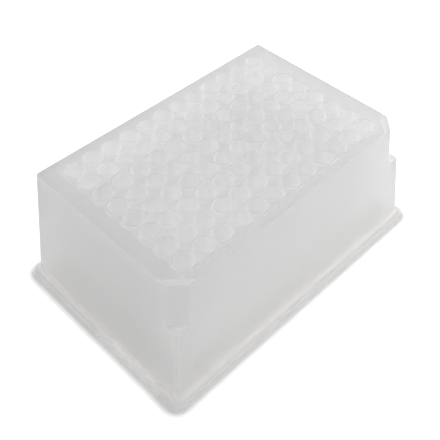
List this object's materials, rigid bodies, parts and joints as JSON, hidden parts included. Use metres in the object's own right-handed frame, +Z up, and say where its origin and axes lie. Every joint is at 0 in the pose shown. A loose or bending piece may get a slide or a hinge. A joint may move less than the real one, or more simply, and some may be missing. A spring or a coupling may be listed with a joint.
{
  "type": "well plate",
  "caption": "Deep-well microplate: tapered round wells with round bottoms in an open skirt on a base flange, its corners along one long side cut down to ledges.",
  "frame": {"origin": "on the table, under the middle of the base flange", "axes": "+X along the long side towards the highest-numbered column, +Y along the short side away from the two cut corners, +Z up out of the wells"},
  "size_m": [0.1278, 0.0854, 0.044],
  "materials": {
    "natural_pp": "satin"
  },
  "bodies": {
    "root": {"well_plate": "natural_pp"}
  },
  "joints": []
}
